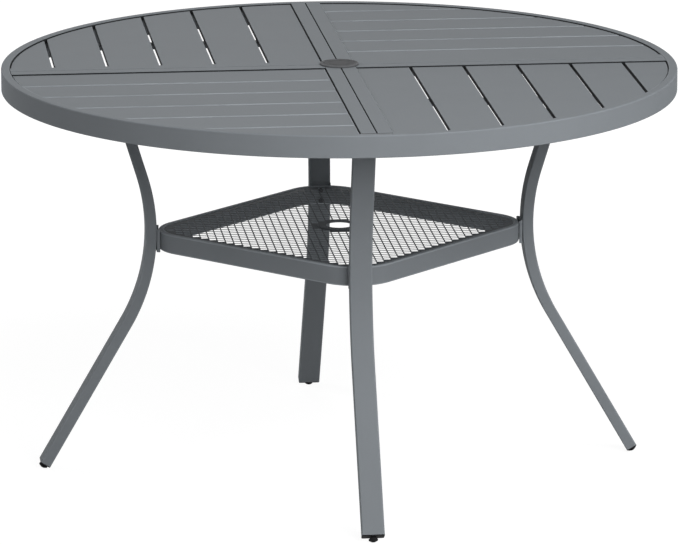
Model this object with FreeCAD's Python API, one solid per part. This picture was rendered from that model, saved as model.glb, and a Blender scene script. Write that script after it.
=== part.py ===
import FreeCAD, Part
import math
import os

# Round patio table with a slatted top, an umbrella hole, four bent legs and a mesh shelf.
# Millimetres. The origin is on the floor under the centre of the top. Z is up, Y points away
# from the viewer, and the four legs stand on the X and Y axes.

os.makedirs("parts", exist_ok=True)

# Top frame
top_height = 740.0
rim_outer_radius = 610.0
rim_width = 16.0
rim_depth = 40.0
rim_wall = 1.2
arm_width = 27.0
arm_depth = 20.0
arm_wall = 1.2
arm_seam = 1.6
arm_end_gap = 12.0
weld_gap = 0.2

# Slats, six in each quadrant
slat_count = 6
slat_first_width = 94.5
slat_last_width = 76.3
slat_gap = 5.0
slat_edge_gap = 1.2
slat_drop = 2.4
slat_depth = 7.6
slat_sheet = 0.9
support_width = 20.0
support_depth = 10.0
support_wall = 1.2
support_distance = 281.0

# Umbrella ring and its lift-out cap
umbrella_bore_radius = 24.4
umbrella_sleeve_wall = 1.8
umbrella_sleeve_length = 26.0
umbrella_sleeve_clearance = 0.3
umbrella_flange_radius = 35.0
umbrella_flange_height = 3.4
cap_seat_width = 4.4
cap_seat_depth = 2.0
cap_socket_step = 0.5
cap_socket_depth = 10.0
cap_clearance = 0.3
cap_thickness = 1.6
cap_skirt_length = 7.0
cap_skirt_wall = 1.6

# Shelf band, a rounded square frame turned 45 degrees
shelf_height = 442.5
shelf_side = 511.2
shelf_corner_radius = 78.0
band_thickness = 10.0
band_depth = 35.0
band_wall = 1.2

# Punched shelf sheet and the ring round its pole hole
mesh_drop = 1.5
mesh_thickness = 0.8
mesh_pitch = 34.5
mesh_strip = 4.1
mesh_margin = 4.0
pole_hole_radius = 24.0
hole_ring_radius = 39.5
hole_ring_thickness = 1.5
hole_ring_overlap = 6.0

# Legs, bent rectangular tube
leg_width = 40.0
leg_thickness = 20.0
leg_wall = 1.5
leg_bend_radius = 342.0
leg_waist_height = 442.1
leg_lean_angle = 17.0
leg_flare_angle = 30.1

# Plates that bolt the legs under the arms
plate_length = 84.0
plate_width = 55.0
plate_thickness = 4.0
plate_corner = 6.0
plate_bolt_radius = 3.0
plate_bolt_head_width = 10.0
plate_bolt_head_height = 4.0
plate_bolt_length = 14.0
plate_bolt_spacing = 60.0

# Corner brackets between the shelf band and the legs
bracket_width = 40.0
bracket_height = 42.0
bracket_flange = 6.0
bracket_sheet = 2.0
bracket_bend = 1.5
shelf_bolt_radius = 2.5
shelf_bolt_head_width = 8.0
shelf_bolt_head_height = 3.5
shelf_bolt_length = 24.0
shelf_bolt_spacing = 20.0
spacer_radius = 3.6
spacer_length = 2.9

# Bolts. They, their holes and the spacers are prisms, and the glides' feet have eight sides.
bolt_sides = 6
turned_sides = 8
bolt_hole_clearance = 0.3
thread_clearance = 0.05
head_seat_gap = 0.3

# End caps and levelling glides
end_cap_thickness = 2.0
end_cap_spigot_length = 14.0
end_cap_clearance = 0.2
glide_stem_radius = 4.0
glide_stem_clearance = 0.06
glide_stem_length = 26.0
glide_neck_width = 11.0
glide_neck_length = 3.2
glide_radius = 8.9
glide_side_height = 3.0
glide_tip_radius = 4.0

# Sizes that follow from the ones above
up = FreeCAD.Vector(0, 0, 1)
centre = FreeCAD.Vector(0, 0, 0)
rim_inner_radius = rim_outer_radius - rim_width
arm_offset = (arm_seam + arm_width) / 2
arm_half = arm_seam / 2 + arm_width
arm_bottom = top_height - arm_depth
slat_top = top_height - slat_drop
slat_bottom = slat_top - slat_depth
slat_start = arm_half + slat_edge_gap
slat_reach = rim_inner_radius - slat_edge_gap
slat_room = slat_reach - slat_start - (slat_count - 1) * slat_gap
slat_width = (slat_room - slat_first_width - slat_last_width) / (slat_count - 2)
sleeve_radius = umbrella_bore_radius + umbrella_sleeve_wall
flange_top = top_height + umbrella_flange_height
cap_seat_radius = umbrella_bore_radius + cap_seat_width
cap_seat_height = flange_top - cap_seat_depth
cap_socket_radius = umbrella_bore_radius + cap_socket_step
band_bottom = shelf_height - band_depth
band_middle = shelf_height - band_depth / 2
band_hole_half = shelf_bolt_radius + bolt_hole_clearance
band_apex = shelf_side / math.sqrt(2) - shelf_corner_radius * (math.sqrt(2) - 1)
mesh_top = shelf_height - mesh_drop
plate_bottom = arm_bottom - plate_thickness

# The leg's narrowest place clears the shelf corner by the spacer and the bracket
leg_inner_face = band_apex + spacer_length + bracket_sheet
leg_waist_radius = leg_inner_face + leg_thickness / 2
leg_bend_centre = leg_waist_radius + leg_bend_radius
lean = math.radians(leg_lean_angle)
flare = math.radians(leg_flare_angle)

# The glide's lowest faces slope as the leg does, so that the inner one lies on the floor
glide_flat = math.cos(math.pi / turned_sides)
glide_cone_height = (glide_radius - glide_tip_radius) * glide_flat * math.tan(flare)
glide_projection = glide_neck_length + glide_side_height + glide_cone_height
end_cap_face_height = (glide_projection * math.cos(flare)
                       + glide_tip_radius * glide_flat * math.sin(flare))
leg_end_height = end_cap_face_height + end_cap_thickness * math.cos(flare)

quadrants = {"back_right": 0, "back_left": 90, "front_left": 180, "front_right": 270}
corners = {"right": 0, "back": 90, "left": 180, "front": 270}


def save(name, solids):
    """Write one node, a single solid or a group of separate ones."""
    shape = solids[0] if len(solids) == 1 else Part.makeCompound(solids)
    shape.exportStep("parts/" + name + ".step")
    volume = sum(solid.Volume for solid in solids) / 1000
    print("%-28s %2d solids %9.2f cm3" % (name, len(solids), volume))


def turned(shape, angle):
    """A copy of the shape, turned about the table's axis."""
    copy = shape.copy()
    copy.rotate(centre, up, angle)
    return copy


def placed(shape, position, axis, angle):
    """A copy of the shape, turned about an axis through the origin and then moved."""
    copy = shape.copy()
    copy.Placement = FreeCAD.Placement(position, FreeCAD.Rotation(axis, angle)).multiply(copy.Placement)
    return copy


def block(low, high):
    """A box between two opposite corners."""
    size = FreeCAD.Vector(*high) - FreeCAD.Vector(*low)
    return Part.makeBox(size.x, size.y, size.z, FreeCAD.Vector(*low))


def rounded_rectangle(width, height, radius):
    """A closed outline about the origin in the XY plane, with rounded corners."""
    x = width / 2 - radius
    y = height / 2 - radius
    edges = []
    for number, (cx, cy) in enumerate([(x, y), (-x, y), (-x, -y), (x, -y)]):
        arc_points = []
        for step in (0, 45, 90):
            angle = math.radians(90 * number + step)
            point = FreeCAD.Vector(cx + radius * math.cos(angle), cy + radius * math.sin(angle), 0)
            arc_points.append(point)
        edges.append(Part.Arc(*arc_points).toShape())
    for number in range(4):
        start = edges[number].lastVertex().Point
        end = edges[(number + 1) % 4].firstVertex().Point
        edges.append(Part.makeLine(start, end))
    return Part.Wire(Part.__sortEdges__(edges))


def eased_rectangle(width, height, ease):
    """A closed outline about the origin in the XY plane, with each corner cut off at 45 degrees."""
    x = width / 2
    y = height / 2
    places = [(x, y - ease), (x - ease, y), (ease - x, y), (-x, y - ease),
              (-x, ease - y), (ease - x, -y), (x - ease, -y), (x, ease - y)]
    points = [FreeCAD.Vector(px, py, 0) for px, py in places]
    return Part.makePolygon(points + points[:1])


def plain_rectangle(width, height):
    """A closed outline about the origin in the XY plane."""
    return Part.makePlane(width, height, FreeCAD.Vector(-width / 2, -height / 2, 0)).OuterWire


def regular_outline(radius, sides=turned_sides):
    """A regular polygon about the origin, whose corners lie at the radius and whose sides face X."""
    step = 2 * math.pi / sides
    points = [FreeCAD.Vector(radius * math.cos((k + 0.5) * step), radius * math.sin((k + 0.5) * step), 0)
              for k in range(sides + 1)]
    return Part.makePolygon(points)


def prism(radius, length, sides=bolt_sides):
    """A regular prism up Z from the origin, whose corners lie at the radius."""
    return Part.Face(regular_outline(radius, sides)).extrude(FreeCAD.Vector(0, 0, length))


def frustum(low, high):
    """A solid between two regular outlines with the same number of corners, with flat sides."""
    pairs = [[vertex.Point for vertex in outline.OrderedVertexes] for outline in (low, high)]
    faces = [Part.Face(low), Part.Face(high)]
    for k in range(len(pairs[0])):
        a, b = pairs[0][k - 1], pairs[0][k]
        c, d = pairs[1][k], pairs[1][k - 1]
        faces.append(Part.Face(Part.makePolygon([a, b, c, d, a])))
    return Part.Solid(Part.Shell(faces))


def tube_face(width, height, wall):
    """A tube's cross-section about the origin in the XY plane."""
    outer = Part.Face(plain_rectangle(width, height))
    return outer.cut(Part.Face(plain_rectangle(width - 2 * wall, height - 2 * wall))).Faces[0]


def tube_along_x(start, end, y, z, width, height, wall):
    """A straight rectangular tube from one X to another, centred on Y and Z."""
    face = tube_face(height, width, wall)
    solid = face.extrude(FreeCAD.Vector(0, 0, end - start))
    return placed(solid, FreeCAD.Vector(start, y, z), FreeCAD.Vector(0, 1, 0), 90)


def revolved(points):
    """A solid turned about Z from a closed outline of (radius, height) corners."""
    corners_3d = [FreeCAD.Vector(radius, 0, height) for radius, height in points]
    outline = Part.makePolygon(corners_3d + corners_3d[:1])
    return Part.Face(outline).revolve(centre, up, 360)


def cylinder(radius, low, high):
    """An upright cylinder on the table's axis."""
    return Part.makeCylinder(radius, high - low, FreeCAD.Vector(0, 0, low))


def hex_bolt(radius, length, head_width, head_height):
    """A hexagon bolt along Z, with the underside of its head at the origin and its shank up."""
    head = prism(head_width / math.sqrt(3), head_height, 6)
    head.translate(FreeCAD.Vector(0, 0, -head_height))
    return head.fuse(prism(radius, length)).removeSplitter()


def rim_ring():
    """Rolled rectangular tube, closed into a ring with its top face level with the arms."""
    middle = rim_outer_radius - rim_width / 2
    face = tube_face(rim_width, rim_depth, rim_wall)
    upright = placed(face, FreeCAD.Vector(middle, 0, top_height - rim_depth / 2),
                     FreeCAD.Vector(1, 0, 0), 90)
    return upright.revolve(centre, up, 360).Solids[0]


def plate_bolt_places():
    """Centres of the bolts of the right leg's plate, as X and Y."""
    middle = leg_radius_at(plate_bottom)
    return [(middle + side * plate_bolt_spacing / 2, row * arm_offset)
            for side in (-1, 1) for row in (-1, 1)]


def arm_bolt_holes():
    """Drills for the tapped holes in the arms' bottom walls, all round the table."""
    drills = []
    for x, y in plate_bolt_places():
        drill = prism(plate_bolt_radius + thread_clearance, arm_wall + 2)
        drill.translate(FreeCAD.Vector(x, y, arm_bottom - 1))
        drills.extend(turned(drill, angle) for angle in corners.values())
    return Part.makeCompound(drills)


def cross_arms():
    """Eight arms. Those at the back and front are coped round the umbrella sleeve, and the side ones
    butt against them."""
    inside_rim = cylinder(rim_inner_radius - weld_gap, arm_bottom - 1, top_height + 1)
    notch_reach = (sleeve_radius + umbrella_sleeve_clearance) / math.cos(math.pi / turned_sides)
    notch = prism(notch_reach, arm_depth + 2, turned_sides)
    notch.translate(FreeCAD.Vector(0, 0, arm_bottom - 1))
    drills = arm_bolt_holes()
    sides = {"right": ("back", "front"), "back": ("left", "right"),
             "left": ("front", "back"), "front": ("right", "left")}
    arms = {}
    for place, angle in corners.items():
        coped = place in ("back", "front")
        start = arm_end_gap / 2 if coped else arm_half + weld_gap
        for name, row in zip(sides[place], (1, -1)):
            tube = tube_along_x(start, rim_inner_radius, row * arm_offset, top_height - arm_depth / 2,
                                arm_width, arm_depth, arm_wall)
            arm = turned(tube, angle).common(inside_rim).cut(drills)
            arms["arm_%s_%s" % (place, name)] = arm.cut(notch) if coped else arm
    return arms


def slat(number):
    """One slat of the back right quadrant: a folded tray, open below, with an arc at the rim."""
    y_end = slat_start + slat_first_width + number * (slat_width + slat_gap)
    y_start = y_end - slat_width if number else slat_start
    last = number == slat_count - 1
    if last:
        y_end = slat_reach
    outer = block((slat_start, y_start, slat_bottom), (rim_inner_radius, y_end, slat_top))
    outer = outer.common(cylinder(slat_reach, slat_bottom, slat_top))
    far_wall = y_end if last else y_end - slat_sheet
    inner = block((slat_start + slat_sheet, y_start + slat_sheet, slat_bottom - 1),
                  (rim_inner_radius, far_wall, slat_top - slat_sheet))
    inner = inner.common(cylinder(slat_reach - slat_sheet, slat_bottom - 1, slat_top - slat_sheet))
    return outer.cut(inner)


def slat_support():
    """The tube across the slats of the back right quadrant, from the arm to the rim."""
    z = slat_bottom - support_depth / 2
    bar = tube_along_x(arm_half + weld_gap, rim_inner_radius, -support_distance, z,
                       support_width, support_depth, support_wall)
    inside_rim = cylinder(rim_inner_radius - weld_gap, slat_bottom - support_depth - 1, slat_bottom + 1)
    return turned(bar, 90).common(inside_rim)


def umbrella_ring():
    """A moulded flange on the arms and a sleeve down through them, stepped for the cap."""
    sleeve_bottom = top_height - umbrella_sleeve_length
    socket_bottom = cap_seat_height - cap_socket_depth
    return revolved([
        (umbrella_bore_radius, sleeve_bottom), (sleeve_radius, sleeve_bottom),
        (sleeve_radius, top_height), (umbrella_flange_radius, top_height),
        (umbrella_flange_radius, flange_top), (cap_seat_radius, flange_top),
        (cap_seat_radius, cap_seat_height), (cap_socket_radius, cap_seat_height),
        (cap_socket_radius, socket_bottom), (umbrella_bore_radius, socket_bottom)])


def umbrella_cap():
    """A round disc in the ring's seat, with a short many-sided skirt down into its socket."""
    skirt_radius = cap_socket_radius - cap_clearance
    disc = cylinder(cap_seat_radius - cap_clearance, cap_seat_height, cap_seat_height + cap_thickness)
    skirt = prism(skirt_radius, cap_skirt_length, turned_sides)
    skirt = skirt.cut(prism(skirt_radius - cap_skirt_wall, cap_skirt_length, turned_sides))
    skirt.translate(FreeCAD.Vector(0, 0, cap_seat_height - cap_skirt_length))
    return disc.fuse(skirt).removeSplitter()


def rounded_square(side, radius, height):
    """The shelf's outline at one height, with its corners on the X and Y axes."""
    return placed(rounded_rectangle(side, side, radius), FreeCAD.Vector(0, 0, height), up, 45)


def band_slab(inset, low, high):
    """A solid of the shelf's outline, drawn in by some distance, between two heights."""
    outline = rounded_square(shelf_side - 2 * inset, shelf_corner_radius - inset, low)
    return Part.Face(outline).extrude(FreeCAD.Vector(0, 0, high - low))


def shelf_bolt_heights():
    """Heights of the two bolts at each shelf corner."""
    return [band_middle + row * shelf_bolt_spacing / 2 for row in (-1, 1)]


def along_right(shape, x, z):
    """Lay a shape that was made along Z out along X, from the table's axis towards the right leg."""
    return placed(shape, FreeCAD.Vector(x, 0, z), FreeCAD.Vector(0, 1, 0), 90)


def shelf_band():
    """Rectangular tube bent into a rounded square, with square holes at each corner for the bolts."""
    band = band_slab(0, band_bottom, shelf_height)
    band = band.cut(band_slab(band_thickness, band_bottom - 1, shelf_height + 1))
    inside = band_slab(band_wall, band_bottom + band_wall, shelf_height - band_wall)
    inside = inside.cut(band_slab(band_thickness - band_wall, band_bottom, shelf_height))
    band = band.cut(inside)
    drills = []
    for height in shelf_bolt_heights():
        hole = plain_rectangle(2 * band_hole_half, 2 * band_hole_half)
        drill = along_right(Part.Face(hole).extrude(FreeCAD.Vector(0, 0, band_thickness + 4)),
                            band_apex - band_thickness - 2, height)
        drills.extend(turned(drill, angle) for angle in corners.values())
    return band.cut(Part.makeCompound(drills))


def inside_shelf(x, y, inset):
    """Whether a point lies inside the shelf's outline, drawn in by some distance."""
    radius = shelf_corner_radius - inset
    reach = shelf_side / 2 - shelf_corner_radius
    along = max(abs(x + y) / math.sqrt(2) - reach, 0)
    across = max(abs(x - y) / math.sqrt(2) - reach, 0)
    return math.hypot(along, across) <= radius


def shelf_mesh():
    """A flat sheet with square holes in rows along X and Y, and a plain margin all round."""
    edge = band_thickness + weld_gap
    outline = rounded_square(shelf_side - 2 * edge, shelf_corner_radius - edge,
                             mesh_top - mesh_thickness)
    pole_hole = placed(regular_outline(hole_ring_radius - hole_ring_overlap),
                       FreeCAD.Vector(0, 0, mesh_top - mesh_thickness), up, 0)
    half = (mesh_pitch - mesh_strip) / 2
    rows = int(shelf_side / math.sqrt(2) / mesh_pitch) + 1
    holes = [pole_hole]
    for column in range(-rows, rows + 1):
        for row in range(-rows, rows + 1):
            x = column * mesh_pitch
            y = row * mesh_pitch
            points = [(x - half, y - half), (x + half, y - half), (x + half, y + half), (x - half, y + half)]
            whole = all(inside_shelf(px, py, edge + mesh_margin) for px, py in points)
            nearest = math.hypot(max(abs(x) - half, 0), max(abs(y) - half, 0))
            if whole and nearest > hole_ring_radius:
                vectors = [FreeCAD.Vector(px, py, mesh_top - mesh_thickness) for px, py in points]
                holes.append(Part.makePolygon(vectors + vectors[:1]))
    print("holes in the shelf sheet:", len(holes) - 1)
    face = Part.makeFace([outline] + holes, "Part::FaceMakerBullseye")
    return face.extrude(FreeCAD.Vector(0, 0, mesh_thickness)).Solids[0]


def shelf_hole_ring():
    """A flat ring on the shelf sheet, round the hole for the umbrella's pole."""
    ring = cylinder(hole_ring_radius, mesh_top, mesh_top + hole_ring_thickness)
    return ring.cut(cylinder(pole_hole_radius, mesh_top - 1, mesh_top + hole_ring_thickness + 1))


def leg_point(angle):
    """A point on the bend of the right leg's centre line, at an angle above the waist."""
    x = leg_bend_centre - leg_bend_radius * math.cos(angle)
    z = leg_waist_height + leg_bend_radius * math.sin(angle)
    return FreeCAD.Vector(x, 0, z)


def leg_radius_at(height):
    """Distance of the leg's centre line from the table's axis, on the straight parts."""
    if height > leg_waist_height:
        tangent_point = leg_point(lean)
        return tangent_point.x + (height - tangent_point.z) * math.tan(lean)
    tangent_point = leg_point(-flare)
    return tangent_point.x + (tangent_point.z - height) * math.tan(flare)


def leg_sweep(outline):
    """An outline swept up the right leg's centre line, from its lower end to past its plate."""
    foot = FreeCAD.Vector(leg_radius_at(leg_end_height), 0, leg_end_height)
    head_height = plate_bottom + leg_thickness
    head = FreeCAD.Vector(leg_radius_at(head_height), 0, head_height)
    path = Part.Wire([Part.makeLine(foot, leg_point(-flare)),
                      Part.Arc(leg_point(-flare), leg_point((lean - flare) / 2), leg_point(lean)).toShape(),
                      Part.makeLine(leg_point(lean), head)])
    return path.makePipeShell([at_leg_end(outline)], True, False)


def leg():
    """The right leg: bent tube, cut level under its plate and tapped for the shelf's bolts."""
    outer = leg_sweep(plain_rectangle(leg_thickness, leg_width))
    inner = leg_sweep(plain_rectangle(leg_thickness - 2 * leg_wall, leg_width - 2 * leg_wall))
    above = block((0, -leg_width, plate_bottom), (rim_outer_radius, leg_width, top_height))
    tube = outer.cut(inner).cut(above)
    for height in shelf_bolt_heights():
        drill = prism(shelf_bolt_radius + thread_clearance, leg_thickness)
        tube = tube.cut(along_right(drill, leg_inner_face - leg_thickness / 2, height))
    return tube.Solids[0]


def leg_top_plate():
    """The right leg's plate, face to face with the arms and the leg's cut end."""
    outline = eased_rectangle(plate_length, plate_width, plate_corner)
    plate = Part.Face(outline).extrude(FreeCAD.Vector(0, 0, plate_thickness))
    plate.translate(FreeCAD.Vector(leg_radius_at(plate_bottom), 0, plate_bottom))
    for x, y in plate_bolt_places():
        drill = prism(plate_bolt_radius + bolt_hole_clearance, plate_thickness + 2)
        drill.translate(FreeCAD.Vector(x, y, plate_bottom - 1))
        plate = plate.cut(drill)
    return plate


def leg_bolts():
    """Bolts up through the right leg's plate into the arms."""
    bolt = hex_bolt(plate_bolt_radius, plate_bolt_length, plate_bolt_head_width, plate_bolt_head_height)
    return [placed(bolt, FreeCAD.Vector(x, y, plate_bottom), up, 0) for x, y in plate_bolt_places()]


def shelf_bracket():
    """A folded channel between the right leg and the shelf corner, with an upright flange at each side."""
    low = band_middle - bracket_height / 2
    high = band_middle + bracket_height / 2
    inside_half = bracket_width / 2 - bracket_sheet
    outer = block((leg_inner_face - bracket_flange, -bracket_width / 2, low),
                  (leg_inner_face, bracket_width / 2, high))
    inner = block((leg_inner_face - bracket_flange - 1, -inside_half, low - 1),
                  (leg_inner_face - bracket_sheet, inside_half, high + 1))
    bends = [edge for edge in outer.Edges if edge.BoundBox.XMin > leg_inner_face - 0.01
             and edge.BoundBox.YLength < 0.01]
    bracket = outer.makeChamfer(bracket_bend, bends).cut(inner)
    for height in shelf_bolt_heights():
        drill = prism(shelf_bolt_radius + bolt_hole_clearance, bracket_sheet + 2)
        bracket = bracket.cut(along_right(drill, leg_inner_face - bracket_sheet - 1, height))
    return bracket


def shelf_fixings():
    """Bolts and spacers at the right corner of the shelf."""
    bolts, spacers = [], []
    head_x = band_apex - band_thickness - head_seat_gap
    bolt = hex_bolt(shelf_bolt_radius, shelf_bolt_length, shelf_bolt_head_width, shelf_bolt_head_height)
    spacer = prism(spacer_radius, spacer_length)
    spacer = spacer.cut(prism(shelf_bolt_radius + bolt_hole_clearance, spacer_length))
    for height in shelf_bolt_heights():
        bolts.append(along_right(bolt, head_x, height))
        spacers.append(along_right(spacer, band_apex, height))
    return bolts, spacers


def at_leg_end(shape):
    """Place a shape made about the origin, with Z up the tube, at the right leg's lower end."""
    foot = FreeCAD.Vector(leg_radius_at(leg_end_height), 0, leg_end_height)
    return placed(shape, foot, FreeCAD.Vector(0, 1, 0), -leg_flare_angle)


def leg_end_cap():
    """A moulded cap over the tube's end, with a spigot inside it and a bore for the glide."""
    cover = Part.Face(plain_rectangle(leg_thickness, leg_width))
    cover = cover.extrude(FreeCAD.Vector(0, 0, -end_cap_thickness))
    inset = 2 * (leg_wall + end_cap_clearance)
    spigot = Part.Face(plain_rectangle(leg_thickness - inset, leg_width - inset))
    spigot = spigot.extrude(FreeCAD.Vector(0, 0, end_cap_spigot_length))
    bore = prism(glide_stem_radius + glide_stem_clearance, end_cap_thickness + end_cap_spigot_length)
    bore.translate(FreeCAD.Vector(0, 0, -end_cap_thickness))
    return at_leg_end(cover.fuse(spigot).cut(bore).removeSplitter())


def glide():
    """A levelling glide: threaded stem, hexagon neck, upright side and sloping faces at the floor."""
    neck_top = -end_cap_thickness
    side_top = neck_top - glide_neck_length
    side_bottom = side_top - glide_side_height
    tip = side_bottom - glide_cone_height
    side = prism(glide_radius, glide_side_height, turned_sides)
    side.translate(FreeCAD.Vector(0, 0, side_bottom))
    outlines = [placed(regular_outline(radius), FreeCAD.Vector(0, 0, height), up, 0)
                for radius, height in ((glide_radius, side_bottom), (glide_tip_radius, tip))]
    base = frustum(*outlines)
    neck = prism(glide_neck_width / math.sqrt(3), glide_neck_length, 6)
    neck.translate(FreeCAD.Vector(0, 0, side_top))
    stem = prism(glide_stem_radius, glide_stem_length)
    stem.translate(FreeCAD.Vector(0, 0, neck_top))
    return at_leg_end(side.fuse(base).fuse(neck).fuse(stem).removeSplitter())


def all_round(shape):
    """The same shape at each of the four legs."""
    return [turned(shape, angle) for angle in corners.values()]


# Top
save("rim_ring", [rim_ring()])
for arm_name, arm in cross_arms().items():
    save(arm_name, arm.Solids)
for quadrant, angle in quadrants.items():
    save("slat_support_" + quadrant, [turned(slat_support(), angle)])
    for number in range(slat_count):
        save("slat_%s_%d" % (quadrant, number + 1), [turned(slat(number), angle)])
save("umbrella_ring", [umbrella_ring()])
save("umbrella_cap", [umbrella_cap()])

# Shelf
save("shelf_band", [shelf_band()])
save("shelf_mesh", [shelf_mesh()])
save("shelf_hole_ring", [shelf_hole_ring()])

# Legs and their fittings
right_leg = leg()
right_bracket = shelf_bracket()
right_glide = glide()
for corner, angle in corners.items():
    save("leg_" + corner, [turned(right_leg, angle)])
    save("shelf_bracket_" + corner, [turned(right_bracket, angle)])
    save("glide_" + corner, [turned(right_glide, angle)])
save("leg_top_plates", all_round(leg_top_plate()))
save("leg_end_caps", all_round(leg_end_cap()))
save("leg_bolts", [copy for bolt in leg_bolts() for copy in all_round(bolt)])
right_bolts, right_spacers = shelf_fixings()
save("shelf_bolts", [copy for bolt in right_bolts for copy in all_round(bolt)])
save("shelf_spacers", [copy for spacer in right_spacers for copy in all_round(spacer)])

print("leg centre line at the plate, radius:", round(leg_radius_at(plate_bottom), 2))
print("leg centre line at its lower end, radius:", round(leg_radius_at(leg_end_height), 2),
      "height:", round(leg_end_height, 2))
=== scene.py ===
# %% [markdown]
# # A round garden table, dressed
# The table is a rolled ring of rectangular tube with a cross of arms in it, slats of folded sheet
# between the arms, four bent legs, and a square shelf of punched sheet turned 45 degrees.
# Its solids are packed as a fixed frame in metres. This lesson loads them and puts a finer surface over
# each one: rounded edges, rolled corners, a fine punched sheet, welds, threads and paint.

import math

import bpy
import numpy as np
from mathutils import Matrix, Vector


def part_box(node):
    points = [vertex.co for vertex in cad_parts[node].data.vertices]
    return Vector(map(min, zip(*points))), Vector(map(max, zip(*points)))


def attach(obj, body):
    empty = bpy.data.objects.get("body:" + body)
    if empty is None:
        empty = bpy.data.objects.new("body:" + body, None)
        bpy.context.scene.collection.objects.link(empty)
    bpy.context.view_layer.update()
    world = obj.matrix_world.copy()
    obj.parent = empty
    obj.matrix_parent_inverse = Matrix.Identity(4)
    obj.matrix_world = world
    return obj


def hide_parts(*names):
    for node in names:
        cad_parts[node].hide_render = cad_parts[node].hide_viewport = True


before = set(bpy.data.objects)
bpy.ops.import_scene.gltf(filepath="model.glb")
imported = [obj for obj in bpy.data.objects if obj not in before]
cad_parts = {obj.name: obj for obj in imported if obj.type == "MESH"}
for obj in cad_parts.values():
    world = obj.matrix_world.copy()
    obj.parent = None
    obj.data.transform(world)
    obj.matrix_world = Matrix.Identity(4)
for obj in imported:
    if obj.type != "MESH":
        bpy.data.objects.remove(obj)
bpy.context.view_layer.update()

# %% [markdown]
# ## Sizes
# Sizes are in millimetres, as on a maker's drawing, and become metres only when a mesh is made. The few
# that many pieces share stand here, and the others beside the first piece that needs them. They are the
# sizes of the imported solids, so each surface lands on its solid.

# %% Shared sizes
MM = 0.001
TOP = 740.0
RIM_RADIUS, RIM_WIDTH, RIM_DEPTH, RIM_CORNER = 610.0, 16.0, 40.0, 2.2
RIM_INSIDE = RIM_RADIUS - RIM_WIDTH
WELD_GAP = 0.2
CORNERS = {"right": 0, "back": 1, "left": 2, "front": 3}
QUADRANTS = {"back_right": 0, "back_left": 1, "front_left": 2, "front_right": 3}
print("top at %.0f mm, rim inside radius %.0f mm" % (TOP, RIM_INSIDE))

# %% [markdown]
# ## Grids of points
# Almost every part of this table is a closed loop carried along a path: a tube's section along the
# tube, a profile round an axis. Such a surface is a grid of points, and its faces follow from row and
# column numbers alone, so one helper serves them all. The loop runs along the columns and always
# closes. The rows close as well on a ring, and otherwise the two ends get a flat face.


# %% Faces of a grid
def grid_faces(rows, columns, wrap_rows):
    """Corner numbers of the quads between rows i, i+1 and columns j, j+1, counted round the wraps."""
    i = np.arange(rows if wrap_rows else rows - 1)[:, None]
    j = np.arange(columns)[None, :]
    below, beside = (i + 1) % rows, (j + 1) % columns
    quads = [i * columns + j, i * columns + beside, below * columns + beside, below * columns + j]
    return np.stack(quads, axis=-1).reshape(-1, 4)


def volume_inside(points, faces):
    """Volume as the sum of the tetrahedra from the origin to each face's fan of triangles."""
    total = 0.0
    for group in faces:
        a, b, c = points[group[:, :1]], points[group[:, 1:-1]], points[group[:, 2:]]
        total += np.sum(a * np.cross(b, c)) / 6
    return total


def outward(points, faces):
    """The same surface with its faces turned to point out, so that its volume is positive."""
    if volume_inside(points, faces) < 0:
        faces = [group[:, ::-1] for group in faces]
    return points, faces


def shell(grid, wrap_rows=False):
    """A closed surface from a grid of rows x columns x 3, with flat ends unless its rows wrap."""
    rows, columns = grid.shape[:2]
    faces = [grid_faces(rows, columns, wrap_rows)]
    if not wrap_rows:
        first = np.arange(columns)[None, :]
        faces += [first[:, ::-1], first + (rows - 1) * columns]
    return outward(grid.reshape(-1, 3), faces)


print("a grid of 3 x 4 points has", len(grid_faces(3, 4, False)), "faces")

# %% [markdown]
# ## Rounded outlines
# Rolled tube and moulded plastic have no knife edges, and it is the light caught by a small radius that
# makes an edge look real. The corners of an outline are rounded before it is carried anywhere. A spare
# point just before and after each arc keeps the flat beside it flat in smooth shading.

# %% Outlines
ARC_STEPS, FLAT_GUARD = 5, 0.3


def softened(corners, radius, steps=ARC_STEPS, guard=FLAT_GUARD):
    """A closed outline with round corners. At a corner the path turns by an angle, so the arc starts
    radius * tan(half the turn) before it, and its points are the first spoke swung through the turn."""
    corner = np.asarray(corners, float)
    radius = np.broadcast_to(np.asarray(radius, float), len(corner))[:, None]
    into = corner - np.roll(corner, 1, axis=0)
    into = into / np.linalg.norm(into, axis=1, keepdims=True)
    away = np.roll(into, -1, axis=0)
    turn = np.arctan2(into[:, :1] * away[:, 1:] - into[:, 1:] * away[:, :1],
                      np.sum(into * away, axis=1, keepdims=True))
    inward = np.stack([-into[:, 1], into[:, 0]], axis=1) * np.sign(turn)
    start = corner - into * radius * np.tan(np.abs(turn) / 2)
    middle = start + inward * radius
    swing = turn * np.linspace(0, 1, steps)
    spoke = (-inward * radius)[:, None, :]
    arc = np.stack([spoke[..., 0] * np.cos(swing) - spoke[..., 1] * np.sin(swing),
                    spoke[..., 0] * np.sin(swing) + spoke[..., 1] * np.cos(swing)], axis=-1)
    arc = arc + middle[:, None, :]
    before = (arc[:, 0] - into * guard)[:, None, :]
    after = (arc[:, -1] + away * guard)[:, None, :]
    return np.concatenate([before, arc, after], axis=1).reshape(-1, 2)


def rectangle(width, height, radius, middle=(0.0, 0.0), steps=ARC_STEPS, guard=FLAT_GUARD):
    """A rectangle about its middle with round corners."""
    x, y = width / 2, height / 2
    corners = np.array([(-x, -y), (x, -y), (x, y), (-x, y)]) + middle
    return softened(corners, radius, steps, guard)


print("a rounded rectangle has", len(rectangle(28, 20, 1.4)), "points")

# %% [markdown]
# ## From outlines to surfaces
# An outline is lifted to a height as one row of a grid, or turned about the Z axis as a ring, or rows of
# radius and height are turned into a solid. The table repeats itself every quarter, so each piece is
# made once and turned, and pieces of one kind may be joined.


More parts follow.
